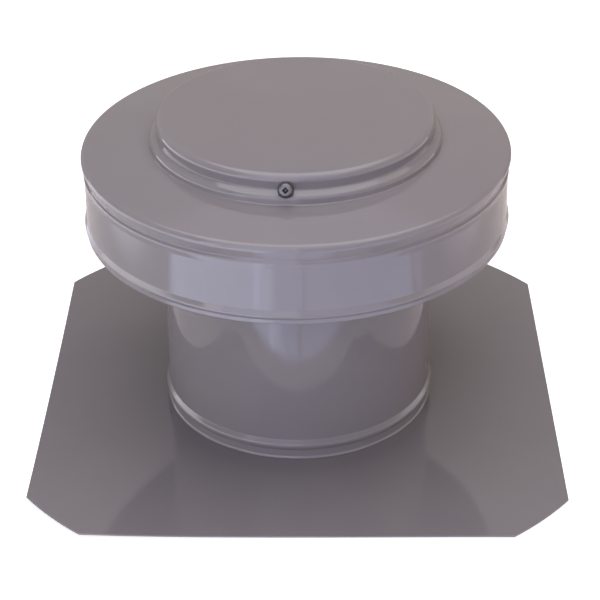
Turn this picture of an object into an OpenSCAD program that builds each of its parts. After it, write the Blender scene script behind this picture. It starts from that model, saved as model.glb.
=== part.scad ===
// Round static roof vent: a spun aluminium hood on two straps over a straight throat pipe,
// with a square flashing whose corners keep the arcs of the round blank it was trimmed from.
// Units are millimetres. The flashing's underside is z = 0 and the throat's axis is x = y = 0.

/* [Flashing] */
// Side of the square flashing
flashing_w = 391.5; // [380:0.5:400]
// Diameter of the round blank that leaves the four clipped corners
blank_d = 497; // [480:1:505]
// Thickness of the flashing sheet
plate_t = 1.2; // [1:0.1:1.5]
// Height of the upturned neck above the deck
neck_h = 42; // [34:1:60]

/* [Throat] */
// Outer diameter of the throat pipe
throat_d = 203.2; // [201:0.2:204]
// Height of the pipe's top edge above the deck
throat_h = 165; // [157:1:170]
// Height of the lower stiffening bead above the deck
low_bead_z = 13.4; // [12:0.2:20]

/* [Hood] */
// Outer diameter of the hood over its rolled rim
hood_d = 315.2; // [300:0.2:325]
// Diameter of the raised crown
crown_d = 204.6; // [204:0.2:206]
// Height of the crown above the deck
total_h = 238; // [235:1:242]
// Height of the rolled rim above the deck
rim_z = 213.6; // [211:0.2:215]
// Height of the drip lip above the deck
lip_z = 152.3; // [148:0.1:156]
// Thickness of the spun sheet of hood and pipe
sheet_t = 0.9; // [0.7:0.05:0.9]

/* [Straps and fasteners] */
// Bearing of the front strap and screw, measured from +X
front_bearing = 267; // [262:0.5:278]
// Width of each strap
strap_w = 30; // [26:1:34]
// Diameter of the crown screws' pan heads
screw_head_d = 9.8; // [9:0.1:10.5]
// Diameter of the rubber sealing washers
washer_d = 12; // [11:0.1:12.4]

/* [Insect screen] */
// Openings round the screen
screen_columns = 40; // [24:1:40]
// Rows of openings
screen_rows = 3; // [2:1:3]

/* [Hidden] */

paint = [0.565, 0.535, 0.545];
bare_metal = [0.76, 0.76, 0.75];
rubber_black = [0.10, 0.10, 0.11];
wire_grey = [0.62, 0.62, 0.62];

turn_fn = 120;
small_fn = 32;
arc_step = 15;
full_wrap = 350;
eps = 0.01;

throat_r = throat_d / 2;
hood_r = hood_d / 2;
crown_r = crown_d / 2;
strut_count = 2;
bearings = [for (i = [0:strut_count - 1]) front_bearing + i * 360 / strut_count];
seat_gap = 0.1;

// A sheet profile is a list of rows [radius, height, bend]. The sheet runs from row to row along common
// tangents of circles with those centres. It is walked with the weather side on the left, so a positive
// bend turns right and stands out, a negative bend turns left and sinks in, and 0 is a cut end.
function heading(a, b) = let (d = [b.x - a.x, b.y - a.y]) atan2(d.y, d.x) - asin((a.z - b.z) / norm(d));
function wrap(angle) = let (a = angle - 360 * floor(angle / 360)) a > full_wrap ? 0 : a;
function turn(bend, h_in, h_out) = bend == 0 ? 0 : bend > 0 ? -wrap(h_in - h_out) : wrap(h_out - h_in);
function on_row(row, h, depth) = [row.x - (row.z - depth) * sin(h), row.y + (row.z - depth) * cos(h)];
function face(rows, depth) = [
    for (i = [0:len(rows) - 1])
        let (last = len(rows) - 1,
             h_in = heading(rows[max(i - 1, 0)], rows[max(i, 1)]),
             h_out = heading(rows[min(i, last - 1)], rows[min(i + 1, last)]),
             sweep = turn(rows[i].z, h_in, h_out),
             steps = ceil(abs(sweep) / arc_step))
        for (k = [0:steps]) on_row(rows[i], h_in + sweep * k / max(steps, 1), depth)];
function reversed(list) = [for (i = [len(list) - 1:-1:0]) list[i]];
function sheet(rows, t) = concat(face(rows, 0), reversed(face(rows, t)));

// Hood, from the middle of the crown to the curled lip. The groove round the crown is as wide as the
// throat, so that the straps stand straight between the two.
edge_r = 5;
rim_r = 4;
crown_roll = [crown_r - edge_r, total_h - edge_r, edge_r];
crown_bead = [crown_r + 0.8, total_h - 17, 4];
hood_rows = [
    [0, total_h, 0],
    crown_roll,
    [throat_r + 1.6, total_h - 10.6, -1.6],
    crown_bead,
    [crown_r + 6, total_h - 19.2, -1],
    [hood_r - rim_r, rim_z - rim_r, rim_r],
    [hood_r - 1.6, rim_z - 11.6, -0.9],
    [hood_r - 4.1, rim_z - 14.7, 3],
    [hood_r - 0.7, rim_z - 18.6, -1],
    [hood_r + 0.2, lip_z + 11, -1.5],
    [hood_r - 2.3, lip_z + 6.6, 2.6],
    [hood_r - 0.1, lip_z + 3.6, -0.8],
    [hood_r - 2.1, lip_z + 1.4, 1.4],
    [hood_r - 3.5, lip_z + 2.2, 0]];

// Throat pipe, from its top edge to the flared foot that stands on the flashing
bead_r = 3.5;
bead_sink = 1;
bead_pitch = 5;
top_bead_z = throat_h - 11;
function pipe_bead(z) = [
    [throat_r + 1, z + bead_pitch, -1],
    [throat_r - bead_sink, z, bead_r],
    [throat_r + 1, z - bead_pitch, -1]];
pipe_rows = concat(
    [[throat_r, throat_h, 0]],
    pipe_bead(top_bead_z),
    pipe_bead(low_bead_z),
    [[throat_r + 2, plate_t + 2.6, -2],
     [throat_r + 1.15, plate_t + 0.7, 0]]);

// Neck of the flashing, whose own bead locks into the pipe's lower bead
neck_gap = 0.3;
neck_r = throat_r - sheet_t - neck_gap;
neck_fillet = 1.6;
neck_flat_r = throat_r + 6;
neck_bead_r = bead_r - sheet_t - neck_gap;
neck_rows = [
    [neck_r, neck_h, 0],
    [neck_r + 1, low_bead_z + 3.6, -1],
    [throat_r - bead_sink, low_bead_z, neck_bead_r],
    [neck_r + 1, low_bead_z - 3.6, -1],
    [neck_r + neck_fillet, plate_t + neck_fillet, -neck_fillet],
    [neck_flat_r, plate_t, 0]];

// Straps, from inside the crown's groove down the pipe's inner wall
strap_t = 1.2;
strap_top = total_h - 4;
strap_foot = throat_h - 45;
strap_r = throat_r - sheet_t - seat_gap;
strap_corner = 4;

// Crown screws: the washer bears on the crown's edge and on the bead under it
seat_heading = heading(crown_roll, crown_bead);
screw_tilt = seat_heading + 90;
seat_rise = 6.2;
bead_touch = on_row(crown_bead, seat_heading, 0);
seat_r = bead_touch.x - seat_rise * cos(seat_heading);
seat_z = bead_touch.y - seat_rise * sin(seat_heading);
screw_d = 4.8;
screw_l = 15;
hole_play = 0.1;
washer_t = 1.3;
head_h = 2.8;
head_round = 2;
recess_w = 3.4;
recess_l = 1.9;

// Rivets that hold each strap to the pipe
rivet_d = 3.2;
rivet_head_d = 6.4;
rivet_head_h = 1.3;
rivet_tail_d = 5;
rivet_tail_l = 1.6;
rivet_heights = [throat_h - 37, throat_h - 21];
rivet_fan = 4.4;
rivet_in_r = strap_r - strap_t - seat_gap;

// Insect screen, between the pipe's upper bead and the hollow of the crown bead
screen_t = 0.8;
screen_r = throat_r + seat_gap;
screen_low = top_bead_z + 4.6;
screen_high = total_h - 14.6;
wire_w = 2;
screen_hem = 2.6;
row_pitch = (screen_high - screen_low - 2 * screen_hem + wire_w) / screen_rows;
column_pitch = 2 * PI * screen_r / screen_columns;

module spun(rows, t) {
    rotate_extrude($fn = turn_fn) polygon(sheet(rows, t));
}

module at_bearing(angle) {
    rotate([0, 0, angle]) children();
}

module each_bearing() {
    for (b = bearings) at_bearing(b) children();
}

// Places children on the crown with +X pointing out along the screw
module at_screw_seat() {
    translate([seat_r, 0, seat_z]) rotate([0, -screw_tilt, 0]) children();
}

module at_rivets() {
    for (a = [-rivet_fan, rivet_fan]) for (z = rivet_heights) at_bearing(a) translate([0, 0, z]) children();
}

module drill_x(d, from, to) {
    translate([from, 0, 0]) rotate([0, 90, 0]) cylinder(d = d, h = to - from, $fn = small_fn);
}

module screw_hole() {
    at_screw_seat() drill_x(screw_d + hole_play, -screw_l, washer_t);
}

module base_flashing() {
    color(paint) union() {
        linear_extrude(plate_t) difference() {
            intersection() {
                square(flashing_w, center = true);
                circle(d = blank_d, $fn = turn_fn);
            }
            circle(r = neck_flat_r - 1, $fn = turn_fn);
        }
        spun(neck_rows, plate_t);
    }
}

module throat_pipe() {
    color(paint) difference() {
        spun(pipe_rows, sheet_t);
        each_bearing() at_rivets() drill_x(rivet_d + hole_play, rivet_in_r, throat_r + 1);
    }
}

module hood() {
    color(paint) difference() {
        spun(hood_rows, sheet_t);
        each_bearing() screw_hole();
    }
}

// Flat face of the strap as seen along its radius, with rounded corners
module strap_outline() {
    reach = strap_w / 2 - strap_corner;
    heights = [strap_foot + strap_corner, strap_top - strap_corner];
    centres = [[reach, heights[1]], [-reach, heights[1]], [-reach, heights[0]], [reach, heights[0]]];
    polygon([for (q = [0:3]) for (a = [q * 90:arc_step:q * 90 + 90])
        centres[q] + strap_corner * [cos(a), sin(a)]]);
}

module strut(angle) {
    half_arc = strap_w / throat_r * 90 / PI + 1;
    color(bare_metal) at_bearing(angle) difference() {
        intersection() {
            rotate([0, 0, -half_arc]) rotate_extrude(angle = 2 * half_arc, $fn = turn_fn)
                translate([strap_r - strap_t, strap_foot]) square([strap_t, strap_top - strap_foot]);
            translate([strap_r - 5, 0, 0]) rotate([90, 0, 90]) linear_extrude(10) strap_outline();
        }
        screw_hole();
        at_rivets() drill_x(rivet_d + hole_play, rivet_in_r - 1, throat_r);
    }
}

module strut_front() {
    strut(bearings[0]);
}

module strut_rear() {
    strut(bearings[1]);
}

// Pan head with a square recess standing on its corner, over a plain shank with a pointed tip
module crown_screw() {
    head_r = screw_head_d / 2;
    tip_l = 3;
    difference() {
        union() {
            rotate([0, 90, 0]) rotate_extrude($fn = small_fn * 2) {
                translate([0, washer_t]) square([head_r, head_h - head_round]);
                translate([0, washer_t]) square([head_r - head_round, head_h]);
                intersection() {
                    translate([head_r - head_round, washer_t + head_h - head_round])
                        circle(r = head_round, $fn = small_fn);
                    translate([0, washer_t]) square([head_r, head_h]);
                }
            }
            drill_x(screw_d, tip_l - screw_l, washer_t + eps);
            translate([tip_l - screw_l, 0, 0]) rotate([0, -90, 0])
                cylinder(d1 = screw_d, d2 = 1, h = tip_l, $fn = small_fn);
        }
        translate([washer_t + head_h - recess_l, 0, 0]) rotate([45, 0, 0])
            translate([0, -recess_w / 2, -recess_w / 2]) cube([recess_l + 1, recess_w, recess_w]);
    }
}

module crown_screws() {
    color(bare_metal) each_bearing() at_screw_seat() crown_screw();
}

module sealing_washers() {
    lean = 0.5;
    color(rubber_black) each_bearing() at_screw_seat() difference() {
        rotate([0, 90, 0]) rotate_extrude($fn = small_fn * 2)
            polygon([[0, 0], [washer_d / 2, 0], [washer_d / 2, washer_t - lean],
                     [washer_d / 2 - lean, washer_t], [0, washer_t]]);
        drill_x(screw_d + hole_play, -1, washer_t + 1);
    }
}

// Blind rivet: a domed head outside the pipe and a set tail inside the strap
module strut_rivet() {
    head_r = rivet_head_d / 2;
    dome_r = (head_r * head_r + rivet_head_h * rivet_head_h) / (2 * rivet_head_h);
    rotate([0, 90, 0]) rotate_extrude($fn = small_fn) intersection() {
        translate([0, throat_r + rivet_head_h - dome_r]) circle(r = dome_r, $fn = turn_fn);
        translate([0, throat_r]) square([head_r, rivet_head_h]);
    }
    drill_x(rivet_d, rivet_in_r - eps, throat_r + eps);
    drill_x(rivet_tail_d, rivet_in_r - rivet_tail_l, rivet_in_r);
}

module strut_rivets() {
    color(bare_metal) each_bearing() at_rivets() strut_rivet();
}

module insect_screen() {
    window_w = column_pitch - wire_w;
    window_h = row_pitch - wire_w;
    color(wire_grey) difference() {
        translate([0, 0, screen_low]) difference() {
            cylinder(r = screen_r + screen_t, h = screen_high - screen_low, $fn = turn_fn);
            translate([0, 0, -1]) cylinder(r = screen_r, h = screen_high - screen_low + 2, $fn = turn_fn);
        }
        for (c = [0:screen_columns - 1]) for (r = [0:screen_rows - 1])
            rotate([0, 0, c * 360 / screen_columns])
                translate([screen_r - 5, -window_w / 2, screen_low + screen_hem + r * row_pitch])
                    cube([10, window_w, window_h]);
    }
}

base_flashing();
throat_pipe();
hood();
strut_front();
strut_rear();
crown_screws();
sealing_washers();
strut_rivets();
insect_screen();
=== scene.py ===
"""Looks of the round static roof vent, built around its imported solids."""

import logging
import math
from dataclasses import dataclass, field
from enum import Enum
from typing import Iterable, Sequence

import bmesh
import bpy
import mathutils
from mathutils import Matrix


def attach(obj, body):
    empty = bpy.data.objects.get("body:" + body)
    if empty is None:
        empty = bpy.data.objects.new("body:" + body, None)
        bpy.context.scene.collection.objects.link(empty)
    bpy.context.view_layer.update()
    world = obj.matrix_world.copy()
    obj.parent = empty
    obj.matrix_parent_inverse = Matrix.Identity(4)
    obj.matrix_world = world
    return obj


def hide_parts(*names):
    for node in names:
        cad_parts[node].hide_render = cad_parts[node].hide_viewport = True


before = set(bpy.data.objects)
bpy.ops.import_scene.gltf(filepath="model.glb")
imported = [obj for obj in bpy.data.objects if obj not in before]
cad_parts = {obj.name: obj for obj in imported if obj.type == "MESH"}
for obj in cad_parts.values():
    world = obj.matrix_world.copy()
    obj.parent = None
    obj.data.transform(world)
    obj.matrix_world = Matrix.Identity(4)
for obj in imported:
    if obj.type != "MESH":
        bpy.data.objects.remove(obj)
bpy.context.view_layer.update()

LOG = logging.getLogger("roof_vent")
MM = 0.001
BODY = "root"
Colour = tuple[float, float, float]
Corner = tuple[float, float, float]
Point = tuple[float, float]


# Node trees

class NodeKind(Enum):
    """The two families of node tree that this file builds."""

    SHADER = "ShaderNode"
    GEOMETRY = "GeometryNode"


class Graph:
    """A node tree under construction, with short calls for adding and joining its nodes."""

    def __init__(self, tree: bpy.types.NodeTree, kind: NodeKind) -> None:
        """Keeps the tree and clears it.

        Args:
            tree: The material's or the modifier's node tree.
            kind: Which family of nodes it holds.
        """
        self.tree = tree
        self.kind = kind
        tree.nodes.clear()

    def add(self, name: str, **settings: object) -> bpy.types.Node:
        """Adds a node.

        Args:
            name: The node type without its family name, or the full type where it starts with Node.
            **settings: Properties of the node, such as operation or data_type.

        Returns:
            The new node.
        """
        full = name if name.startswith(("Node", "Shader", "Function")) else self.kind.value + name
        node = self.tree.nodes.new(full)
        for key, value in settings.items():
            setattr(node, key, value)
        return node

    def feed(self, socket: bpy.types.NodeSocket, value: object) -> None:
        """Joins an output to a socket, or sets the socket's own value.

        Args:
            socket: The input to fill.
            value: An output socket, or a number, colour or vector.
        """
        if isinstance(value, bpy.types.NodeSocket):
            self.tree.links.new(value, socket)
        else:
            socket.default_value = value

    def math(self, operation: str, *values: object) -> bpy.types.NodeSocket:
        """Adds a Math node.

        Args:
            operation: The operation's name in Blender.
            *values: Its inputs, in order.

        Returns:
            The result.
        """
        node = self.add("ShaderNodeMath", operation=operation)
        for socket, value in zip(node.inputs, values):
            self.feed(socket, value)
        return node.outputs[0]


# Finishes

@dataclass(frozen=True)
class Grain:
    """One layer of fine relief or mottling, as a noise on the piece's own coordinates."""

    size: float
    detail: float = 2.0
    roughness: float = 0.5
    height: float = 0.0
    stretch: tuple[float, float, float] = (1.0, 1.0, 1.0)


# Point mark for the screw recess walls, which a finish darkens with painted shade.
RECESS_SHADE_MARK = "hollow"


@dataclass(frozen=True)
class Finish:
    """A procedural surface: base colour, gloss, mottling and relief at their real sizes in metres, and a painted shade
    on marked recesses where one is given.
    """

    name: str
    colour: Colour
    tint: Colour
    roughness: tuple[float, float]
    metallic: float
    mottle: Grain
    smudge: Grain
    reliefs: tuple[Grain, ...]
    specular: float = 0.5
    coat: float = 0.0
    coat_roughness: float = 0.05
    anisotropic: float = 0.0
    edge_colour: Colour | None = None
    edge_reach: float = 0.0006
    edge_limits: tuple[float, float] = (0.86, 0.70)
    # Painted shade: colour blended in where the recess mark is set.
    hollow_colour: Colour | None = None

    def noise(self, graph: Graph, grain: Grain) -> bpy.types.NodeSocket:
        """Adds one noise.

        Args:
            graph: The material's tree.
            grain: Size and character of the noise.

        Returns:
            Its value from 0 to 1.
        """
        place = graph.add("TexCoord")
        scale = graph.add("Mapping", vector_type="POINT")
        graph.feed(scale.inputs["Vector"], place.outputs["Object"])
        graph.feed(scale.inputs["Scale"], grain.stretch)
        noise = graph.add("TexNoise")
        graph.feed(noise.inputs["Vector"], scale.outputs[0])
        graph.feed(noise.inputs["Scale"], 1.0 / grain.size)
        graph.feed(noise.inputs["Detail"], grain.detail)
        graph.feed(noise.inputs["Roughness"], grain.roughness)
        return noise.outputs["Fac"]

    def span(self, graph: Graph, value: bpy.types.NodeSocket, low: float, high: float) -> bpy.types.NodeSocket:
        """Spreads a noise over a range of values.

        Args:
            graph: The material's tree.
            value: The noise.
            low: The value at its lower end.
            high: The value at its upper end.

        Returns:
            The spread value.
        """
        node = graph.add("MapRange", clamp=True)
        for socket, number in zip(node.inputs[1:5], (0.3, 0.7, low, high)):
            graph.feed(socket, number)
        graph.feed(node.inputs["Value"], value)
        return node.outputs["Result"]

    def blend(self, graph: Graph, share: object, first: object, second: object) -> bpy.types.NodeSocket:
        """Mixes two colours.

        Args:
            graph: The material's tree.
            share: How much of the second colour shows.
            first: Colour at 0.
            second: Colour at 1.

        Returns:
            The mixed colour.
        """
        node = graph.add("Mix", data_type="RGBA")
        graph.feed(node.inputs["Factor"], share)
        for socket, colour in ((node.inputs[6], first), (node.inputs[7], second)):
            graph.feed(socket, (*colour, 1.0) if isinstance(colour, tuple) else colour)
        return node.outputs[2]

    def material(self) -> bpy.types.Material:
        """Builds the material.

        Returns:
            A node material named after the finish.
        """
        made = bpy.data.materials.new(self.name)
        made.use_nodes = True
        graph = Graph(made.node_tree, NodeKind.SHADER)
        shader = graph.add("BsdfPrincipled")
        colour = self.blend(graph, self.span(graph, self.noise(graph, self.mottle), 0.0, 1.0), self.colour, self.tint)
        if self.edge_colour is not None:
            colour = self.blend(graph, self.worn(graph), colour, self.edge_colour)
        # Painted shade: marked recess walls are darkened towards the painted shade colour.
        if self.hollow_colour is not None:
            mark = graph.add("Attribute", attribute_type="GEOMETRY", attribute_name=RECESS_SHADE_MARK)
            colour = self.blend(graph, mark.outputs["Fac"], colour, self.hollow_colour)
        graph.feed(shader.inputs["Base Color"], colour)
        smudges = self.span(graph, self.noise(graph, self.smudge), *self.roughness)
        graph.feed(shader.inputs["Roughness"], smudges)
        for socket, number in (("Metallic", self.metallic), ("Specular IOR Level", self.specular),
                               ("Coat Weight", self.coat), ("Coat Roughness", self.coat_roughness),
                               ("Anisotropic", self.anisotropic)):
            graph.feed(shader.inputs[socket], number)
        normal = None
        for grain in self.reliefs:
            bump = graph.add("Bump")
            graph.feed(bump.inputs["Strength"], 1.0)
            graph.feed(bump.inputs["Distance"], grain.height)
            graph.feed(bump.inputs["Height"], self.noise(graph, grain))
            if normal is not None:
                graph.feed(bump.inputs["Normal"], normal)
            normal = bump.outputs["Normal"]
        if normal is not None:
            graph.feed(shader.inputs["Normal"], normal)
            graph.feed(shader.inputs["Coat Normal"], normal)
        out = graph.add("OutputMaterial")
        graph.feed(out.inputs["Surface"], shader.outputs["BSDF"])
        return made

    def worn(self, graph: Graph) -> bpy.types.NodeSocket:
        """Finds sharp outer edges, where the coat is thin.

        Args:
            graph: The material's tree.

        Returns:
            0 on flat faces, up to 1 on edges.
        """
        bevel = graph.add("Bevel", samples=4)
        graph.feed(bevel.inputs["Radius"], self.edge_reach)
        flat = graph.add("NewGeometry")
        dot = graph.add("VectorMath", operation="DOT_PRODUCT")
        graph.feed(dot.inputs[0], bevel.outputs["Normal"])
        graph.feed(dot.inputs[1], flat.outputs["Normal"])
        node = graph.add("MapRange", clamp=True)
        for socket, number in zip(node.inputs[1:5], (*self.edge_limits, 0.0, 1.0)):
            graph.feed(socket, number)
        graph.feed(node.inputs["Value"], dot.outputs["Value"])
        return node.outputs["Result"]


POWDER_COAT = Finish(
    name="powder_coat", colour=(0.232, 0.209, 0.216), tint=(0.242, 0.219, 0.223), roughness=(0.055, 0.085),
    metallic=0.0, mottle=Grain(0.06, 3.0), smudge=Grain(0.035, 3.0),
    reliefs=(Grain(0.0026, 1.0, 0.4, 0.000005), Grain(0.0007, 1.0, 0.5, 0.0000012)), specular=0.5)
MILL_ALUMINIUM = Finish(
    name="mill_aluminium", colour=(0.62, 0.62, 0.62), tint=(0.55, 0.55, 0.56), roughness=(0.28, 0.42),
    metallic=1.0, mottle=Grain(0.012, 4.0), smudge=Grain(0.004, 4.0, stretch=(1.0, 1.0, 0.08)),
    reliefs=(Grain(0.0005, 3.0, 0.6, 0.000004, (1.0, 1.0, 0.06)),), anisotropic=0.3)
# The zinc finish paints shade into the marked screw recess walls.
ZINC_PLATE = Finish(
    name="zinc_plate", colour=(0.17, 0.165, 0.175), tint=(0.13, 0.127, 0.135), roughness=(0.36, 0.50),
    metallic=1.0, mottle=Grain(0.0012, 4.0, 0.6), smudge=Grain(0.0007, 4.0),
    reliefs=(Grain(0.00025, 2.0, 0.5, 0.000004),), hollow_colour=(0.022, 0.022, 0.027))
SEAL_RUBBER = Finish(
    name="seal_rubber", colour=(0.035, 0.033, 0.036), tint=(0.05, 0.047, 0.05), roughness=(0.50, 0.68),
    metallic=0.0, mottle=Grain(0.001, 3.0), smudge=Grain(0.0008, 3.0),
    reliefs=(Grain(0.00018, 2.0, 0.6, 0.000012),), specular=0.4)
SCREEN_WIRE = Finish(
    name="screen_wire", colour=(0.50, 0.50, 0.50), tint=(0.40, 0.40, 0.41), roughness=(0.32, 0.46),
    metallic=1.0, mottle=Grain(0.004, 3.0), smudge=Grain(0.002, 3.0),
    reliefs=(Grain(0.0004, 2.0, 0.5, 0.000005),))


# Sheet profiles

@dataclass(frozen=True)
class Row:
    """One bend of a sheet profile in millimetres: centre of the bend, and its signed radius."""

    radius: float
    height: float
    bend: float


@dataclass(frozen=True)
class Sheet:
    """A sheet that runs from bend to bend along common tangents, weather side on the left."""

    rows: tuple[Row, ...]
    thickness: float
    arc_step: float = 7.0
    full_wrap: float = 350.0

    @staticmethod
    def heading(first: Row, second: Row) -> float:
        """Direction of the tangent from one bend to the next, in degrees."""
        across, up = second.radius - first.radius, second.height - first.height
        lean = math.asin((first.bend - second.bend) / math.hypot(across, up))
        return math.degrees(math.atan2(up, across) - lean)

    def sweep(self, bend: float, arriving: float, leaving: float) -> float:
        """Angle that the sheet turns through at a bend.

        Args:
            bend: The bend's signed radius.
            arriving: Heading before it, in degrees.
            leaving: Heading after it, in degrees.

        Returns:
            The turn in degrees, negative to the right.
        """
        if bend == 0:
            return 0.0
        turn = (arriving - leaving) % 360 if bend > 0 else (leaving - arriving) % 360
        turn = 0.0 if turn > self.full_wrap else turn
        return -turn if bend > 0 else turn

    def face(self, depth: float) -> list[Point]:
        """Points of the sheet's face at a depth below the weather side.

        Args:
            depth: Distance in from the weather side.

        Returns:
            Points (radius, height) in millimetres.
        """
        last = len(self.rows) - 1
        points: list[Point] = []
        for i, row in enumerate(self.rows):
            arriving = self.heading(self.rows[max(i - 1, 0)], self.rows[max(i, 1)])
            leaving = self.heading(self.rows[min(i, last - 1)], self.rows[min(i + 1, last)])
            sweep = self.sweep(row.bend, arriving, leaving)
            steps = max(math.ceil(abs(sweep) / self.arc_step), 1)
            for k in range(steps + 1 if sweep else 1):
                angle = math.radians(arriving + sweep * k / steps)
                reach = row.bend - depth
                points.append((row.radius - reach * math.sin(angle), row.height + reach * math.cos(angle)))
        return points

    def outline(self) -> list[Point]:
        """The sheet's closed cross-section, weather side first."""
        return self.face(0.0) + self.face(self.thickness)[::-1]


# Geometry trees

class Trees:
    """The geometry node trees that the sub-assemblies share."""

    @staticmethod
    def start(name: str, inputs: Sequence[tuple[str, str]]) -> tuple[Graph, bpy.types.Node]:
        """Starts a tree with named inputs.

        Args:
            name: The tree's name.
            inputs: Names and socket types, after the geometry.

        Returns:
            The graph and its input node.
        """
        tree = bpy.data.node_groups.new(name, "GeometryNodeTree")
        tree.interface.new_socket("Geometry", in_out="INPUT", socket_type="NodeSocketGeometry")
        for label, kind in inputs:
            tree.interface.new_socket(label, in_out="INPUT", socket_type=kind)
        tree.interface.new_socket("Geometry", in_out="OUTPUT", socket_type="NodeSocketGeometry")
        graph = Graph(tree, NodeKind.GEOMETRY)
        return graph, graph.add("NodeGroupInput")

    @staticmethod
    def end(graph: Graph, shape: bpy.types.NodeSocket, material: bpy.types.NodeSocket) -> bpy.types.NodeTree:
        """Ends a tree with realised instances and a material.

        Args:
            graph: The tree so far.
            shape: Its geometry.
            material: The material to set.

        Returns:
            The finished tree.
        """
        real = graph.add("RealizeInstances")
        graph.feed(real.inputs[0], shape)
        dressed = graph.add("SetMaterial")
        graph.feed(dressed.inputs["Geometry"], real.outputs[0])
        graph.feed(dressed.inputs["Material"], material)
        out = graph.add("NodeGroupOutput")
        graph.feed(out.inputs[0], dressed.outputs[0])
        return graph.tree

    @classmethod
    def spun(cls) -> bpy.types.NodeTree:
        """A closed cross-section turned about Z, as on a spinning lathe.

        The piece's own vertices are the cross-section, in order, with X the radius and Z the height.

        Returns:
            The tree, with the inputs Segments and Material.
        """
        graph, given = cls.start("spun_sheet", (("Segments", "NodeSocketInt"), ("Material", "NodeSocketMaterial")))
        size = graph.add("AttributeDomainSize")
        graph.feed(size.inputs[0], given.outputs["Geometry"])
        count = size.outputs["Point Count"]
        around = graph.math("ADD", given.outputs["Segments"], 1)
        grid = graph.add("MeshGrid")
        graph.feed(grid.inputs["Vertices X"], graph.math("ADD", count, 1))
        graph.feed(grid.inputs["Vertices Y"], around)
        index = graph.add("InputIndex").outputs[0]
        along = graph.math("FLOOR", graph.math("DIVIDE", index, around))
        step = graph.math("MODULO", index, around)
        sample = graph.add("SampleIndex", data_type="FLOAT_VECTOR", domain="POINT")
        graph.feed(sample.inputs["Geometry"], given.outputs["Geometry"])
        graph.feed(sample.inputs["Value"], graph.add("InputPosition").outputs[0])
        graph.feed(sample.inputs["Index"], graph.math("MODULO", along, count))
        parts = graph.add("ShaderNodeSeparateXYZ")
        graph.feed(parts.inputs[0], sample.outputs["Value"])
        share = graph.math("DIVIDE", graph.math("MODULO", step, given.outputs["Segments"]), given.outputs["Segments"])
        angle = graph.math("MULTIPLY", share, math.tau)
        place = graph.add("ShaderNodeCombineXYZ")
        graph.feed(place.inputs[0], graph.math("MULTIPLY", parts.outputs[0], graph.math("COSINE", angle)))
        graph.feed(place.inputs[1], graph.math("MULTIPLY", parts.outputs[0], graph.math("SINE", angle)))
        graph.feed(place.inputs[2], parts.outputs[2])
        moved = graph.add("SetPosition")
        graph.feed(moved.inputs["Geometry"], grid.outputs["Mesh"])
        graph.feed(moved.inputs["Position"], place.outputs[0])
        merged = graph.add("MergeByDistance")
        graph.feed(merged.inputs["Geometry"], moved.outputs[0])
        graph.feed(merged.inputs["Distance"], 0.000001)
        return cls.end(graph, merged.outputs[0], given.outputs["Material"])

    @classmethod
    def ring(cls) -> bpy.types.NodeTree:
        """A fastener repeated about Z, in columns and rows at each bearing.

        Returns:
            The tree, with the inputs Bearings, First Bearing, Columns, Column Step, Rows, Row Step and Material.
        """
        graph, given = cls.start("fastener_ring", (
            ("Bearings", "NodeSocketInt"), ("First Bearing", "NodeSocketFloat"),
            ("Columns", "NodeSocketInt"), ("Column Step", "NodeSocketFloat"),
            ("Rows", "NodeSocketInt"), ("Row Step", "NodeSocketFloat"), ("Material", "NodeSocketMaterial")))
        rows, columns, bearings = (given.outputs[key] for key in ("Rows", "Columns", "Bearings"))
        each = graph.math("MULTIPLY", rows, columns)
        points = graph.add("Points")
        graph.feed(points.inputs["Count"], graph.math("MULTIPLY", each, bearings))
        index = graph.add("InputIndex").outputs[0]
        row = graph.math("MODULO", index, rows)
        column = graph.math("MODULO", graph.math("FLOOR", graph.math("DIVIDE", index, rows)), columns)
        bearing = graph.math("FLOOR", graph.math("DIVIDE", index, each))
        middle = graph.math("DIVIDE", graph.math("SUBTRACT", columns, 1), 2)
        fan = graph.math("MULTIPLY", graph.math("SUBTRACT", column, middle), given.outputs["Column Step"])
        turn = graph.math("MULTIPLY", bearing, graph.math("DIVIDE", math.tau, bearings))
        total = graph.math("ADD", graph.math("ADD", given.outputs["First Bearing"], turn), fan)
        lift = graph.add("ShaderNodeCombineXYZ")
        graph.feed(lift.inputs[2], graph.math("MULTIPLY", row, given.outputs["Row Step"]))
        graph.feed(points.inputs["Position"], lift.outputs[0])
        spin = graph.add("ShaderNodeCombineXYZ")
        graph.feed(spin.inputs[2], total)
        copies = graph.add("InstanceOnPoints")
        graph.feed(copies.inputs["Points"], points.outputs[0])
        graph.feed(copies.inputs["Instance"], given.outputs["Geometry"])
        graph.feed(copies.inputs["Rotation"], spin.outputs[0])
        return cls.end(graph, copies.outputs[0], given.outputs["Material"])

    @classmethod
    def weave(cls) -> bpy.types.NodeTree:
        """Plain woven wire bent round a cylinder, over and under at each crossing.

        Returns:
            The tree, with the inputs Radius, Low, High, Uprights, Hoops, Wire Radius and Material.
        """
        graph, given = cls.start("woven_wire", (
            ("Radius", "NodeSocketFloat"), ("Low", "NodeSocketFloat"), ("High", "NodeSocketFloat"),
            ("Uprights", "NodeSocketInt"), ("Hoops", "NodeSocketInt"), ("Wire Radius", "NodeSocketFloat"),
            ("Material", "NodeSocketMaterial")))
        uprights, hoops = given.outputs["Uprights"], given.outputs["Hoops"]
        span = graph.math("SUBTRACT", given.outputs["High"], given.outputs["Low"])
        pitch = graph.math("DIVIDE", span, hoops)
        index = graph.add("InputIndex").outputs[0]

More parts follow.
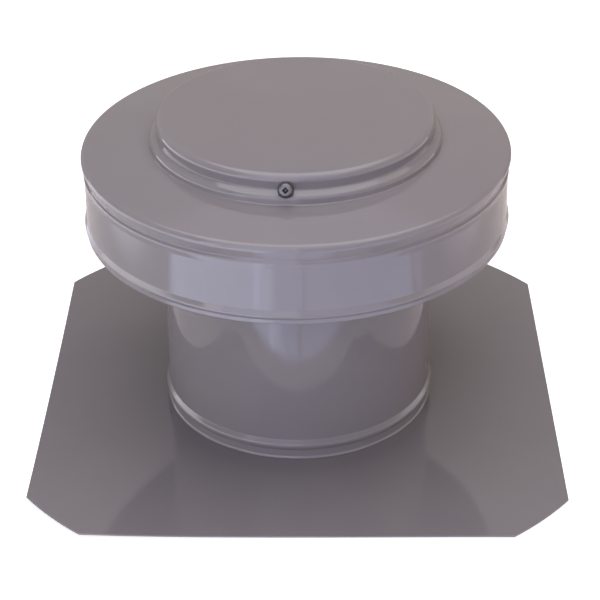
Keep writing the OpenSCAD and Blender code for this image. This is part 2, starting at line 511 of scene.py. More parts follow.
        def crossing(upright: bpy.types.NodeSocket, hoop: bpy.types.NodeSocket, side: float,
                     shift: float) -> bpy.types.NodeSocket:
            """Place of one crossing.

            Args:
                upright: Number of the upright wire.
                hoop: Number of the hoop.
                side: 1 for the uprights, -1 for the hoops, which pass on the other side.
                shift: Part of a pitch that the hoops lie above the low end.

            Returns:
                The point's position.
            """
            odd = graph.math("MODULO", graph.math("ADD", upright, hoop), 2)
            sway = graph.math("MULTIPLY", graph.math("SUBTRACT", graph.math("MULTIPLY", odd, 2), 1), side)
            out = graph.math("MULTIPLY_ADD", sway, given.outputs["Wire Radius"], given.outputs["Radius"])
            angle = graph.math("MULTIPLY", graph.math("DIVIDE", upright, uprights), math.tau)
            place = graph.add("ShaderNodeCombineXYZ")
            graph.feed(place.inputs[0], graph.math("MULTIPLY", out, graph.math("COSINE", angle)))
            graph.feed(place.inputs[1], graph.math("MULTIPLY", out, graph.math("SINE", angle)))
            graph.feed(place.inputs[2], graph.math(
                "MULTIPLY_ADD", graph.math("ADD", hoop, shift), pitch, given.outputs["Low"]))
            return place.outputs[0]

        def wires(shape: bpy.types.NodeSocket, place: bpy.types.NodeSocket) -> bpy.types.NodeSocket:
            """Gives round section to a set of wires.

            Args:
                shape: The wires as edges.
                place: Where their points go.

            Returns:
                The wires' mesh.
            """
            moved = graph.add("SetPosition")
            graph.feed(moved.inputs["Geometry"], shape)
            graph.feed(moved.inputs["Position"], place)
            curve = graph.add("MeshToCurve")
            graph.feed(curve.inputs["Mesh"], moved.outputs[0])
            ring = graph.add("CurvePrimitiveCircle")
            graph.feed(ring.inputs["Resolution"], 4)
            graph.feed(ring.inputs["Radius"], given.outputs["Wire Radius"])
            solid = graph.add("CurveToMesh")
            graph.feed(solid.inputs["Curve"], curve.outputs[0])
            graph.feed(solid.inputs["Profile Curve"], ring.outputs[0])
            graph.feed(solid.inputs["Fill Caps"], True)
            return solid.outputs[0]

        def copies(count: bpy.types.NodeSocket, wire: bpy.types.NodeSocket) -> bpy.types.NodeSocket:
            """Repeats one wire as many times as asked.

            Args:
                count: How many.
                wire: The wire's edges.

            Returns:
                All the wires as one mesh.
            """
            points = graph.add("Points")
            graph.feed(points.inputs["Count"], count)
            made = graph.add("InstanceOnPoints")
            graph.feed(made.inputs["Points"], points.outputs[0])
            graph.feed(made.inputs["Instance"], wire)
            real = graph.add("RealizeInstances")
            graph.feed(real.inputs[0], made.outputs[0])
            return real.outputs[0]

        stops = graph.math("ADD", hoops, 1)
        line = graph.add("MeshLine")
        graph.feed(line.inputs["Count"], stops)
        upright = graph.math("FLOOR", graph.math("DIVIDE", index, stops))
        up = wires(copies(uprights, line.outputs[0]), crossing(upright, graph.math("MODULO", index, stops), 1.0, 0.0))
        loop = graph.add("MeshCircle")
        graph.feed(loop.inputs["Vertices"], uprights)
        hoop = graph.math("FLOOR", graph.math("DIVIDE", index, uprights))
        inner = graph.math("ADD", hoop, 1)
        across = wires(copies(graph.math("SUBTRACT", hoops, 1), loop.outputs[0]),
                       crossing(graph.math("MODULO", index, uprights), inner, -1.0, 0.0))
        both = graph.add("JoinGeometry")
        for part in (up, across, given.outputs["Geometry"]):
            graph.tree.links.new(part, both.inputs[0])
        return cls.end(graph, both.outputs[0], given.outputs["Material"])


# Mesh helpers

def mesh_object(name: str, points: Sequence[Sequence[float]], faces: Iterable[Sequence[int]],
                edges: Iterable[Sequence[int]] = ()) -> bpy.types.Object:
    """Makes an object at the origin.

    Args:
        name: The object's name.
        points: Vertices in metres.
        faces: Faces as vertex numbers.
        edges: Loose edges as vertex numbers.

    Returns:
        The object, linked to the scene.
    """
    mesh = bpy.data.meshes.new(name)
    mesh.from_pydata(points, list(edges), list(faces))
    made = bpy.data.objects.new(name, mesh)
    bpy.context.scene.collection.objects.link(made)
    return made


def settle(piece: bpy.types.Object, sharp: float = 40.0) -> None:
    """Merges a mesh's doubles, turns its faces outwards and shades it smooth up to an angle.

    Args:
        piece: A closed shape.
        sharp: Edges over this angle in degrees stay sharp.
    """
    work = bmesh.new()
    work.from_mesh(piece.data)
    bmesh.ops.remove_doubles(work, verts=work.verts, dist=0.0000005)
    bmesh.ops.dissolve_degenerate(work, edges=work.edges, dist=0.0000001)
    if work.calc_volume(signed=True) < 0:
        bmesh.ops.reverse_faces(work, faces=work.faces)
    work.to_mesh(piece.data)
    work.free()
    piece.data.shade_smooth()
    piece.data.set_sharp_from_angle(angle=math.radians(sharp))


def grow(piece: bpy.types.Object, tree: bpy.types.NodeTree, values: dict[str, object]) -> None:
    """Runs a geometry tree on a piece and keeps the result as its plain mesh.

    Args:
        piece: The object whose mesh the tree starts from.
        tree: The geometry tree.
        values: The tree's inputs by name.
    """
    modifier = piece.modifiers.new(tree.name, "NODES")
    modifier.node_group = tree
    for item in tree.interface.items_tree:
        if item.item_type == "SOCKET" and item.in_out == "INPUT" and item.name in values:
            modifier[item.identifier] = values[item.name]
    shape = piece.evaluated_get(bpy.context.evaluated_depsgraph_get())
    made = bpy.data.meshes.new_from_object(shape)
    piece.modifiers.clear()
    piece.data = made


def hand_over(piece: bpy.types.Object, nodes: Sequence[str]) -> bpy.types.Object:
    """Hides the solids that a finished piece stands for and hangs the piece under the vent's body.

    Args:
        piece: The finished object.
        nodes: The solids that it stands for.

    Returns:
        The same object.
    """
    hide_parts(*nodes)
    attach(piece, BODY)
    LOG.info("%s: %d faces, for %s", piece.name, len(piece.data.polygons), ", ".join(nodes))
    return piece


# Sub-assemblies

@dataclass
class SpunPiece:
    """A piece spun or rolled from sheet about the throat's axis."""

    name: str
    node: str
    sheet: Sheet
    finish: Finish = POWDER_COAT
    slot: str = "paint"
    segments: int = 256

    def build(self, spun: bpy.types.NodeTree, material: bpy.types.Material) -> bpy.types.Object:
        """Turns the cross-section about Z.

        Args:
            spun: The lathe tree.
            material: The piece's material.

        Returns:
            The piece.
        """
        outline = [(r * MM, 0.0, z * MM) for r, z in self.sheet.outline()]
        piece = mesh_object(self.name, outline, (), [(i, i + 1) for i in range(len(outline) - 1)])
        grow(piece, spun, {"Segments": self.segments, "Material": material})
        settle(piece)
        return piece


def hood_sheet() -> Sheet:
    """Cross-section of the hood, from the crown's middle to the curled lip."""
    throat, crown, rim, lip, edge, rolled = 101.6, 102.3, 157.6, 152.3, 5.0, 4.0
    top, roll = 238.0, 213.6
    return Sheet((
        Row(0.0, top, 0.0), Row(crown - edge, top - edge, edge), Row(throat + 1.6, top - 10.6, -1.6),
        Row(crown + 0.8, top - 17.0, 4.0), Row(crown + 6.0, top - 19.2, -1.0),
        Row(rim - rolled, roll - rolled, rolled), Row(rim - 1.6, roll - 11.6, -0.9), Row(rim - 4.1, roll - 14.7, 3.0),
        Row(rim - 0.7, roll - 18.6, -1.0), Row(rim + 0.2, lip + 11.0, -1.5), Row(rim - 2.3, lip + 6.6, 2.6),
        Row(rim - 0.1, lip + 3.6, -0.8), Row(rim - 2.1, lip + 1.4, 1.4), Row(rim - 3.5, lip + 2.2, 0.0)), 0.9)


def throat_sheet() -> Sheet:
    """Cross-section of the throat pipe, with its two beads and flared foot."""
    wall, top, foot = 101.6, 165.0, 1.2
    beads = [Row(wall + across, level + up, bend) for level in (top - 11.0, 13.4)
             for across, up, bend in ((1.0, 5.0, -1.0), (-1.0, 0.0, 3.5), (1.0, -5.0, -1.0))]
    return Sheet((Row(wall, top, 0.0), *beads, Row(wall + 2.0, foot + 2.6, -2.0), Row(wall + 1.15, foot + 0.7, 0.0)),
                 0.9)


@dataclass
class Flashing:
    """The square flashing with clipped corners and its upturned neck, all one sheet."""

    side: float = 391.5
    blank: float = 497.0
    thickness: float = 1.2
    edge: float = 0.5
    flat_from: float = 107.6
    lift_from: float = 120.0
    lift: float = 4.4
    segments: int = 256
    neck: tuple[Row, ...] = (
        Row(100.4, 42.0, 0.0), Row(101.4, 17.0, -1.0), Row(100.6, 13.4, 2.3), Row(101.4, 9.8, -1.0),
        Row(102.0, 2.8, -1.6), Row(107.6, 1.2, 0.0))

    def rim(self, inset: float, height: float) -> list[tuple[float, float, float]]:
        """The plate's outline, moved in.

        Args:
            inset: Distance in from the edge, in millimetres.
            height: Height of the points.

        Returns:
            One point per segment.
        """
        half, blank = self.side / 2 - inset, self.blank / 2 - inset
        corner = math.sqrt(blank ** 2 - half ** 2)
        turn = math.tau / self.segments
        outer = math.atan2(math.sqrt((self.blank / 2) ** 2 - (self.side / 2) ** 2), self.side / 2)
        snap = round(outer / turn)
        quarter = self.segments // 4
        points = []
        for i in range(self.segments):
            angle = i * turn
            k = i % quarter
            base = (i // quarter) * math.pi / 2
            if k == snap:
                spot = (half, corner)
            elif k == quarter - snap:
                spot = (corner, half)
            else:
                local = angle - base
                reach = min(half / max(abs(math.cos(local)), 1e-9), half / max(abs(math.sin(local)), 1e-9), blank)
                spot = (reach * math.cos(local), reach * math.sin(local))
            x, y = spot
            points.append(((x * math.cos(base) - y * math.sin(base)) * MM,
                           (x * math.sin(base) + y * math.cos(base)) * MM, height * MM))
        return points

    def ring(self, radius: float, height: float) -> list[tuple[float, float, float]]:
        """A round ring of points.

        Args:
            radius: Its radius in millimetres.
            height: Its height in millimetres.

        Returns:
            One point per segment.
        """
        turn = math.tau / self.segments
        return [(radius * math.cos(i * turn) * MM, radius * math.sin(i * turn) * MM, height * MM)
                for i in range(self.segments)]

    def lifted(self, spot: Sequence[float]) -> Corner:
        """Raises a point as the photograph's thin plate rises towards its left corners.

        Args:
            spot: A point of the flat plate, in metres.

        Returns:
            The raised point.
        """
        x, y, z = spot
        share = max(math.hypot(x, y) / MM - self.lift_from, 0.0) / (self.blank / 2 - self.lift_from)
        return x, y, z + self.lift * (0.5 - x / MM / self.side) * share ** 2 * MM

    def build(self, material: bpy.types.Material) -> bpy.types.Object:
        """Builds the flashing ring by ring: neck outside, plate top, rounded edge, underside, neck inside.

        Args:
            material: The piece's material.

        Returns:
            The piece.
        """
        sheet = Sheet(self.neck, self.thickness)
        rings = [self.ring(r, z) for r, z in sheet.face(0.0)]
        steps = 14
        margin = 0.6
        last = rings[-1]

        def between(start: list, stop: list, share: float) -> list:
            """Points part of the way from one ring to another."""
            return [tuple(a + (b - a) * share for a, b in zip(p, q)) for p, q in zip(start, stop)]

        top_in = self.rim(self.edge + margin, self.thickness)
        rings += [between(last, top_in, (k + 1) / steps) for k in range(steps)]
        arc = 4
        for k in range(arc + 1):
            angle = math.radians(90 * k / arc)
            rings.append(self.rim(self.edge * (1 - math.sin(angle)),
                                  self.thickness - self.edge * (1 - math.cos(angle))))
        for k in range(arc + 1):
            angle = math.radians(90 * k / arc)
            rings.append(self.rim(self.edge * (1 - math.cos(angle)), self.edge * (1 - math.sin(angle))))
        rings.append(self.rim(self.edge + margin, 0.0))
        under = self.ring(self.flat_from, 0.0)
        rings += [between(rings[-1], under, (k + 1) / steps) for k in range(steps)]
        rings += [self.ring(r, z) for r, z in sheet.face(self.thickness)[-2::-1]]
        count = self.segments
        points = [self.lifted(spot) for ring in rings for spot in ring]
        faces = [(a * count + i, a * count + (i + 1) % count, b * count + (i + 1) % count, b * count + i)
                 for a, b in zip(range(len(rings)), [*range(1, len(rings)), 0]) for i in range(count)]
        piece = mesh_object("flashing", points, faces)
        piece.data.materials.append(material)
        settle(piece)
        return piece


@dataclass
class Seat:
    """Where a crown screw stands: a point on the crown's edge and the lean of its axis, which points out along +X."""

    radius: float = 104.55
    height: float = 228.23
    tilt: float = 21.5

    def matrix(self) -> mathutils.Matrix:
        """Moves a fastener from the origin, pointing along +X, to the seat."""
        lean = mathutils.Matrix.Rotation(-math.radians(self.tilt), 4, "Y")
        return mathutils.Matrix.Translation((self.radius * MM, 0.0, self.height * MM)) @ lean


@dataclass
class Fasteners:
    """Crown screws, their sealing washers and the strap rivets, each turned about its own axis and then repeated."""

    first_bearing: float = 267.0
    seat: Seat = field(default_factory=Seat)
    segments: int = 48

    def turned(self, name: str, profile: Sequence[tuple[float, float, float]], closed: bool) -> bpy.types.Object:
        """Turns a profile about X.

        Args:
            name: The object's name.
            profile: Rows of (distance along X, radius, 1 for a square on its corner or 0 for a circle).
            closed: True for a ring that joins its last row to its first, as a washer does.

        Returns:
            The turned object.
        """
        count = self.segments
        points, faces = [], []
        for along, radius, square in profile:
            for i in range(count):
                angle = math.tau * i / count
                fold = math.cos(math.pi / 4) / math.cos(math.pi / 4 - angle % (math.pi / 2))
                reach = radius * (fold if square else 1.0)
                points.append((along * MM, reach * math.cos(angle) * MM, reach * math.sin(angle) * MM))
        rows = len(profile)
        pairs = [(a, (a + 1) % rows) for a in range(rows if closed else rows - 1)]
        faces = [(a * count + i, a * count + (i + 1) % count, b * count + (i + 1) % count, b * count + i)
                 for a, b in pairs for i in range(count)]
        return mesh_object(name, points, faces)

    def screws(self, ring: bpy.types.NodeTree, material: bpy.types.Material) -> bpy.types.Object:
        """Pan-head screws with a square recess, point inwards.

        Args:
            ring: The repeating tree.
            material: Their material.

        Returns:
            The two screws as one piece.
        """
        under, tall, head, rounding = 1.3, 2.8, 4.9, 2.0
        shoulder = [(under + tall - rounding + rounding * math.sin(math.radians(a)),
                     head - rounding + rounding * math.cos(math.radians(a)), 0.0) for a in range(0, 91, 15)]
        recess = [(under + tall, 2.48, 1.0), (under + tall - 0.12, 2.4, 1.0), (under + tall - 1.7, 2.25, 1.0),
                  (under + tall - 1.8, 1.1, 1.0), (under + tall - 1.9, 0.001, 1.0)]
        shank = [(-15.0, 0.001, 0.0), (-15.0, 0.35, 0.0), (-12.0, 2.0, 0.0)]
        threads = []
        for k in range(7):
            start = -11.6 + k * 1.6
            threads += [(start, 2.0, 0.0), (start + 0.5, 2.4, 0.0), (start + 0.65, 2.4, 0.0), (start + 1.1, 2.0, 0.0)]
        profile = [*shank, *threads, (0.2, 2.2, 0.0), (under, 2.2, 0.0), (under, head - 0.15, 0.0),
                   (under + 0.12, head, 0.0), *shoulder, *recess]
        piece = self.turned("crown_screw_pair", profile, closed=False)
        # Marks the recess walls for the painted shade of the zinc finish.
        mark = piece.data.attributes.new(RECESS_SHADE_MARK, "FLOAT", "POINT")
        walls = range((len(profile) - len(recess) + 1) * self.segments, (len(profile) - 1) * self.segments)
        for point in walls:
            mark.data[point].value = 1.0
        piece.data.transform(self.seat.matrix())
        settle(piece, 35.0)
        grow(piece, ring, {"Bearings": 2, "First Bearing": math.radians(self.first_bearing), "Columns": 1,
                           "Column Step": 0.0, "Rows": 1, "Row Step": 0.0, "Material": material})
        return piece

    def washers(self, ring: bpy.types.NodeTree, material: bpy.types.Material) -> bpy.types.Object:
        """Rubber sealing washers, squeezed a little at the rim.

        Args:
            ring: The repeating tree.
            material: Their material.

        Returns:
            The two washers as one piece.
        """
        rim = [(0.65 + 0.62 * math.sin(math.radians(a)), 5.15 + 0.55 * math.cos(math.radians(a)), 0.0)
               for a in range(-90, 91, 18)]
        piece = self.turned("sealing_washer_pair", [(0.03, 2.5, 0.0), *rim, (1.27, 2.5, 0.0)], closed=True)
        piece.data.transform(self.seat.matrix())
        settle(piece)
        grow(piece, ring, {"Bearings": 2, "First Bearing": math.radians(self.first_bearing), "Columns": 1,
                           "Column Step": 0.0, "Rows": 1, "Row Step": 0.0, "Material": material})
        return piece

    def rivets(self, ring: bpy.types.NodeTree, material: bpy.types.Material) -> bpy.types.Object:
        """Blind rivets, domed outside the pipe and set inside the strap.

        Args:
            ring: The repeating tree.
            material: Their material.

        Returns:
            The eight rivets as one piece.
        """
        wall, head, rise, inner = 101.6, 3.2, 1.3, 99.3
        dome = (head * head + rise * rise) / (2 * rise)
        reach = math.asin(head / dome)
        crown = [(wall + rise - dome + dome * math.cos(a), dome * math.sin(a), 0.0)
                 for a in (reach * (1 - k / 8) for k in range(8))]
        profile = [(inner - 1.6, 0.6, 0.0), (inner - 1.6, 0.9, 0.0), (inner - 1.5, 2.3, 0.0), (inner - 1.0, 2.5, 0.0),
                   (inner, 2.5, 0.0), (inner, 1.6, 0.0), (wall, 1.6, 0.0), (wall, head - 0.1, 0.0), *crown,
                   (wall + rise, 0.85, 0.0), (wall + rise - 0.5, 0.7, 0.0), (wall + rise - 0.6, 0.001, 0.0)]
        piece = self.turned("strap_rivet_set", [(inner - 1.4, 0.001, 0.0), *profile], closed=False)
        piece.data.transform(mathutils.Matrix.Translation((0.0, 0.0, 128.0 * MM)))
        settle(piece, 35.0)
        grow(piece, ring, {"Bearings": 2, "First Bearing": math.radians(self.first_bearing), "Columns": 2,
                           "Column Step": math.radians(8.8), "Rows": 2, "Row Step": 16.0 * MM, "Material": material})
        return piece


@dataclass
class InsectScreen:
    """The screen round the straps: woven wire between two folded hems."""

    radius: float = 102.1
    low: float = 158.6
    high: float = 223.4
    hem: float = 2.6
    uprights: int = 160
    hoops: int = 16
    wire: float = 0.2

    def build(self, weave: bpy.types.NodeTree, material: bpy.types.Material) -> bpy.types.Object:
        """Builds the hems by turning a thin section, and the wires by the weave tree.

        Args:
            weave: The weaving tree.
            material: The screen's material.

        Returns:
            The piece.
        """
        count = 160
        section = [(-0.38, 0.0), (0.38, 0.0), (0.4, 0.2), (0.4, self.hem - 0.2), (0.38, self.hem),
                   (-0.38, self.hem), (-0.4, self.hem - 0.2), (-0.4, 0.2)]
        points, faces = [], []
        for base in (self.low, self.high - self.hem):
            first = len(points)
            for across, up in section:
                points += [((self.radius + across) * math.cos(math.tau * i / count) * MM,
                            (self.radius + across) * math.sin(math.tau * i / count) * MM, (base + up) * MM)
                           for i in range(count)]
            rows = len(section)
            faces += [(first + a * count + i, first + a * count + (i + 1) % count,
                       first + (a + 1) % rows * count + (i + 1) % count, first + (a + 1) % rows * count + i)
                      for a in range(rows) for i in range(count)]
        piece = mesh_object("woven_screen", points, faces)
        settle(piece)
        grow(piece, weave, {"Radius": self.radius * MM, "Low": (self.low + 1.0) * MM, "High": (self.high - 1.0) * MM,
                            "Uprights": self.uprights, "Hoops": self.hoops, "Wire Radius": self.wire * MM,
                            "Material": material})
        piece.data.shade_smooth()
        return piece


@dataclass
class Straps:
    """The two straps that carry the hood, as the solids have them, in mill aluminium."""

    nodes: tuple[str, ...] = ("strut_front", "strut_rear")

    def dress(self, material: bpy.types.Material) -> None:
        """Gives the straps their material.

        Args:
            material: Bare aluminium.
        """
        for name in self.nodes:
            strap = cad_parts[name]
            for slot in strap.material_slots:
                slot.material = material
            LOG.info("%s: dressed as %s", name, material.name)


# Studio

@dataclass(frozen=True)
class Glow:
    """A soft light with straight sides, lit on the side from which its corners run anticlockwise.

    The radiance is set against the white of the background, and the light adds to what lies behind it.
    Towards its sides it fades out over the width called soft.
    """

    name: str
    corners: tuple[Corner, ...]
    radiance: Colour
    soft: float = 0.0
    in_gloss: bool = True
    in_diffuse: bool = True

    def inner(self) -> list[mathutils.Vector]:
        """The corners, moved in by the soft width from both sides that meet there."""
        spots = [mathutils.Vector(corner) for corner in self.corners]
        moved = []
        for i, spot in enumerate(spots):
            back, on = (spots[i - 1] - spot).normalized(), (spots[(i + 1) % len(spots)] - spot).normalized()
            moved.append(spot + (back + on) * self.soft / math.sin(back.angle(on)))
        return moved

    def build(self) -> None:
        """Adds the light, unseen by the camera."""
        count = len(self.corners)
        border = [(i, (i + 1) % count, (i + 1) % count + count, i + count) for i in range(count)]
        piece = mesh_object(self.name, [*self.corners, *self.inner()],
                            [tuple(range(count, 2 * count)), *(border if self.soft else ())])
        level = piece.data.attributes.new("level", "FLOAT", "POINT")
        level.data.foreach_set("value", [0.0] * count + [1.0] * count)
        made = bpy.data.materials.new(self.name)
        made.use_nodes = True
        graph = Graph(made.node_tree, NodeKind.SHADER)
        clear = graph.add("BsdfTransparent")
        lit = graph.add("Emission")
        graph.feed(lit.inputs["Color"], (*self.radiance, 1.0))
        back = graph.add("NewGeometry").outputs["Backfacing"]
        fade = graph.add("Attribute", attribute_name="level").outputs["Fac"]
        graph.feed(lit.inputs["Strength"], graph.math("MULTIPLY", fade, graph.math("SUBTRACT", 1.0, back)))
        both = graph.add("AddShader")
        graph.feed(both.inputs[0], clear.outputs[0])
        graph.feed(both.inputs[1], lit.outputs[0])
        out = graph.add("OutputMaterial")
        graph.feed(out.inputs["Surface"], both.outputs[0])
        piece.data.materials.append(made)
        piece.visible_camera = False
        piece.visible_shadow = False
        piece.visible_glossy = self.in_gloss
        piece.visible_diffuse = self.in_diffuse


@dataclass
class Studio:
    """Pale floor, white surroundings, soft panels and the camera at the photograph's place."""

    focal_px: float = 1855.1
    frame_px: float = 600.0
    throat: float = 101.6
    eye: tuple[float, float, float] = (0.2095, -12.0729, 7.9861)
    deck: float = 3.2
    pitch: float = 0.5407
    yaw: float = -0.0161
    roll: float = -0.0136
    floor_white: float = 0.86
    floor_seen: float = 0.75
    board_gloss: Colour = (0.15, 0.08, 0.04)
    world_gloss: Colour = (0.62, 0.56, 0.51)

    def camera(self) -> None:
        """Places the camera found by fitting the vent's circles and the flashing's corners."""
        lens = bpy.data.cameras.new("camera")
        lens.sensor_width = 36.0
        lens.lens = self.focal_px / self.frame_px * lens.sensor_width
        lens.clip_start, lens.clip_end = 0.05, 60.0
        ahead = mathutils.Vector((math.sin(self.yaw) * math.cos(self.pitch), math.cos(self.yaw) * math.cos(self.pitch),
                                  -math.sin(self.pitch)))
        right = mathutils.Vector((math.cos(self.yaw), -math.sin(self.yaw), 0.0))
        above = right.cross(ahead)
        side = right * math.cos(self.roll) + above * math.sin(self.roll)
        up = above * math.cos(self.roll) - right * math.sin(self.roll)
        holder = bpy.data.objects.new("camera", lens)
        turn = mathutils.Matrix((side, up, -ahead)).transposed()
        place = mathutils.Vector(self.eye) * self.throat * MM + mathutils.Vector((0.0, 0.0, self.deck * MM))
        holder.matrix_world = mathutils.Matrix.Translation(place) @ turn.to_4x4()
        bpy.context.scene.collection.objects.link(holder)
        bpy.context.scene.camera = holder

    def by_ray(self, graph: Graph, seen: Colour, gloss: Colour) -> bpy.types.NodeSocket:
        """A colour of light that depends on who looks, and is black as a light on the vent.

        Args:
            graph: The material's or the world's tree.
            seen: Colour for the camera and through clear things.
            gloss: Colour in reflections.

        Returns:
            The colour.
        """
        path = graph.add("LightPath")
        mixed: object = (0.0, 0.0, 0.0, 1.0)
        direct = graph.math("MAXIMUM", path.outputs["Is Camera Ray"], path.outputs["Is Transmission Ray"])
        for share, colour in ((path.outputs["Is Glossy Ray"], gloss), (direct, seen)):
            node = graph.add("Mix", data_type="RGBA")
            graph.feed(node.inputs["Factor"], share)
            graph.feed(node.inputs[6], mixed)
            graph.feed(node.inputs[7], (*colour, 1.0))
            mixed = node.outputs[2]
        return mixed

    def floor(self) -> None:
        """Lays a wide pale floor that shows white to the camera, but keeps the vent's shadow."""
        reach = 8.0
        piece = mesh_object("floor", [(-reach, -reach, 0.0), (reach, -reach, 0.0), (reach, reach, 0.0),
                                      (-reach, reach, 0.0)], [(0, 1, 2, 3)])
        piece.location.z = -0.0004
        made = bpy.data.materials.new("floor_paper")
        made.use_nodes = True
        graph = Graph(made.node_tree, NodeKind.SHADER)
        paper = graph.add("BsdfDiffuse")
        graph.feed(paper.inputs["Color"], (self.floor_white,) * 3 + (1.0,))
        glow = graph.add("Emission")
        graph.feed(glow.inputs["Color"], self.by_ray(graph, (self.floor_seen,) * 3, self.board_gloss))
        both = graph.add("AddShader")
        graph.feed(both.inputs[0], paper.outputs[0])
        graph.feed(both.inputs[1], glow.outputs[0])
        out = graph.add("OutputMaterial")
        graph.feed(out.inputs["Surface"], both.outputs[0])
        piece.data.materials.append(made)

    def surroundings(self) -> None:
        """Sets plain surroundings: white to the camera, a little dimmer and warmer in gloss."""
        world = bpy.data.worlds.new("studio")
        bpy.context.scene.world = world
        world.use_nodes = True
        graph = Graph(world.node_tree, NodeKind.SHADER)
        sky = graph.add("Background")
        graph.feed(sky.inputs["Color"], self.by_ray(graph, (1.0, 1.0, 1.0), self.world_gloss))
        out = graph.add("OutputWorld")
        graph.feed(out.inputs["Surface"], sky.outputs[0])

    def build(self, lights: Sequence[Glow]) -> None:
        """Sets the whole studio up.

        Args:
            lights: The soft lights.
        """
        bpy.context.scene.view_settings.view_transform = "Standard"
        self.camera()
        self.floor()
        self.surroundings()
        for light in lights:
            light.build()


def upright(name: str, ends: tuple[Point, Point], heights: Point, radiance: Colour) -> Glow:
    """A light that stands upright, faces the vent and fades over into the light beside it.

    Args:
        name: The light's name.
        ends: Its two ends on the floor, from left to right as the vent sees them.
        heights: Its lower and upper edge.
        radiance: Its light against white.

    Returns:
        The light.
    """
    left, right = (mathutils.Vector((*end, 0.0)) for end in ends)
    over = (right - left).normalized() * FADE / 2
    low, high = heights[0] - FADE / 2, heights[1] + FADE / 2
    (x0, y0, _), (x1, y1, _) = left - over, right + over
    return Glow(name, ((x1, y1, low), (x0, y0, low), (x0, y0, high), (x1, y1, high)), radiance, FADE)


def flat(name: str, outline: tuple[Point, ...], radiance: Colour, soft: float, layer: int = 0) -> Glow:
    """A bright patch on the floor that only gloss shows.

    Args:
        name: The patch's name.
        outline: Its corners on the floor, anticlockwise from above.
        radiance: Its light against white.
        soft: Width over which it fades out.
        layer: How many patches it lies on, so that none shares another's height.

    Returns:
        The light.
    """
    height = FLOOR_LIFT + layer * LAYER
    return Glow(name, tuple((x, y, height) for x, y in outline), radiance, soft, in_diffuse=False)


FLOOR_LIFT = 0.001
LAYER = 0.0004
BOARD_EDGE = -0.230
SWEEP_END = -1.1
SIDE = 1.2
FADE = 0.08

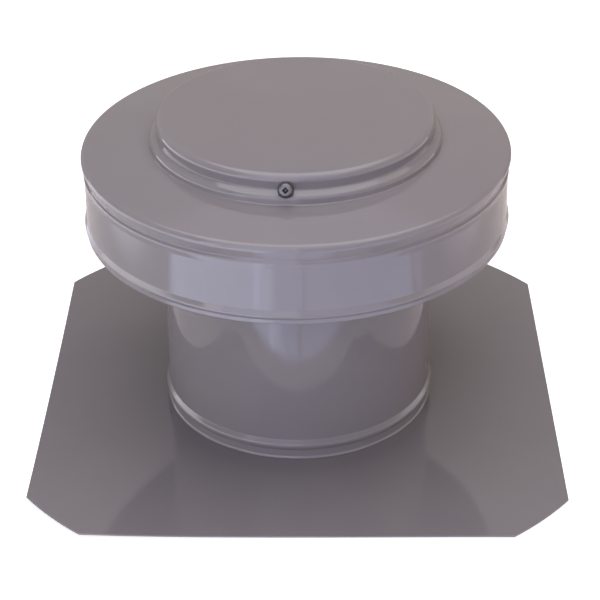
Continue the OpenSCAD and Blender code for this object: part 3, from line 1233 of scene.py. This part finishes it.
LIGHTS = (
    Glow("ceiling", ((-0.7, -0.7, 1.4), (-0.7, 0.7, 1.4), (0.7, 0.7, 1.4), (0.7, -0.7, 1.4)),
         (2.36, 2.32, 2.46)),
    Glow("ceiling_front", ((-0.7, -1.2, 1.4), (-0.7, -0.7, 1.4), (0.7, -0.7, 1.4), (0.7, -1.2, 1.4)),
         (0.17, 0.26, 0.39)),
    Glow("ceiling_right", ((0.7, -1.2, 1.4), (0.7, 0.7, 1.4), (1.2, 0.7, 1.4), (1.2, -1.2, 1.4)),
         (1.13, 1.16, 0.88)),
    upright("rear_top", ((0.6, SIDE), (-0.6, SIDE)), (1.3, 2.2), (0.38, 0.34, 0.45)),
    upright("far_left_low", ((-SIDE, -SIDE), (-0.8, -SIDE)), (0.0, 0.5), (2.44, 2.47, 2.83)),
    upright("far_left_high", ((-SIDE, -SIDE), (-0.8, -SIDE)), (0.5, 1.4), (1.12, 1.12, 1.04)),
    upright("far_right_low", ((0.8, -SIDE), (SIDE, -SIDE)), (0.0, 0.5), (0.85, 0.86, 1.45)),
    upright("front_left_low", ((-0.8, -SIDE), (0.04, -SIDE)), (0.0, 0.3), (1.81, 1.70, 1.92)),
    upright("front_left_middle", ((-0.8, -SIDE), (0.04, -SIDE)), (0.3, 0.6), (1.64, 1.92, 2.57)),
    upright("front_left_high", ((-0.8, -SIDE), (0.04, -SIDE)), (0.6, 0.9), (0.48, 0.47, 0.64)),
    upright("front_left_top", ((-0.8, -SIDE), (0.04, -SIDE)), (0.9, 1.4), (2.37, 2.25, 2.82)),
    upright("front_right_middle", ((0.04, -SIDE), (0.8, -SIDE)), (0.3, 0.6), (0.76, 0.91, 1.57)),
    upright("front_right_top", ((0.04, -SIDE), (0.8, -SIDE)), (0.9, 1.4), (1.57, 1.35, 1.91)),
    upright("left_wall_low", ((-SIDE, 0.8), (-SIDE, -SIDE)), (0.0, 0.3), (3.00, 3.00, 3.00)),
    upright("right_wall_low", ((SIDE, -SIDE), (SIDE, 0.8)), (0.0, 0.3), (1.61, 1.54, 1.57)),
    upright("right_wall_high", ((SIDE, -SIDE), (SIDE, 0.8)), (0.3, 1.0), (0.28, 0.15, 0.00)),
    flat("sweep_left", ((-0.445, SWEEP_END), (0.101, SWEEP_END), (0.007, BOARD_EDGE), (-0.445, BOARD_EDGE)),
         (0.86, 1.04, 1.77), 0.012),
    flat("sweep_bright", ((-0.445, SWEEP_END), (-0.17, SWEEP_END), (-0.03, BOARD_EDGE), (-0.445, BOARD_EDGE)),
         (1.08, 1.16, 1.26), 0.03, layer=1),
    flat("sweep_right", ((0.099, SWEEP_END), (0.9, SWEEP_END), (0.35, BOARD_EDGE), (0.002, BOARD_EDGE)),
         (0.79, 0.91, 1.48), 0.012, layer=1),
    flat("streak", ((-0.33, -1.0), (-0.28, -1.0), (-0.060, BOARD_EDGE), (-0.083, BOARD_EDGE)),
         (0.55, 0.59, 1.02), 0.006, layer=2),
    flat("floor_left", ((-SIDE, BOARD_EDGE), (-0.43, BOARD_EDGE), (-0.43, 0.5), (-SIDE, 0.5)), (1.45, 1.46, 1.78), 0.03),
    flat("floor_right", ((0.43, BOARD_EDGE), (SIDE, BOARD_EDGE), (SIDE, 0.5), (0.43, 0.5)), (0.98, 0.80, 0.99), 0.03),
    flat("corner_left", ((-SIDE, SWEEP_END), (-0.445, SWEEP_END), (-0.445, BOARD_EDGE), (-SIDE, BOARD_EDGE)),
         (1.72, 2.05, 2.71), 0.012),
    flat("corner_right", ((0.9, SWEEP_END), (SIDE, SWEEP_END), (SIDE, BOARD_EDGE), (0.35, BOARD_EDGE)),
         (0.54, 0.41, 0.82), 0.012),
)


def main() -> None:
    """Builds the studio and every piece of the vent in order."""
    logging.basicConfig(level=logging.INFO, format="%(name)s: %(message)s")
    Studio().build(LIGHTS)
    paint, bare, zinc, rubber, wire = (
        finish.material() for finish in (POWDER_COAT, MILL_ALUMINIUM, ZINC_PLATE, SEAL_RUBBER, SCREEN_WIRE))
    spun, ring, weave = Trees.spun(), Trees.ring(), Trees.weave()
    hand_over(Flashing().build(paint), ["base_flashing"])
    for piece in (SpunPiece("throat", "throat_pipe", throat_sheet()), SpunPiece("spun_hood", "hood", hood_sheet())):
        hand_over(piece.build(spun, paint), [piece.node])
    Straps().dress(bare)
    fasteners = Fasteners()
    hand_over(fasteners.screws(ring, zinc), ["crown_screws"])
    hand_over(fasteners.washers(ring, rubber), ["sealing_washers"])
    hand_over(fasteners.rivets(ring, bare), ["strut_rivets"])
    hand_over(InsectScreen().build(weave, wire), ["insect_screen"])


if __name__ == "__main__":
    main()
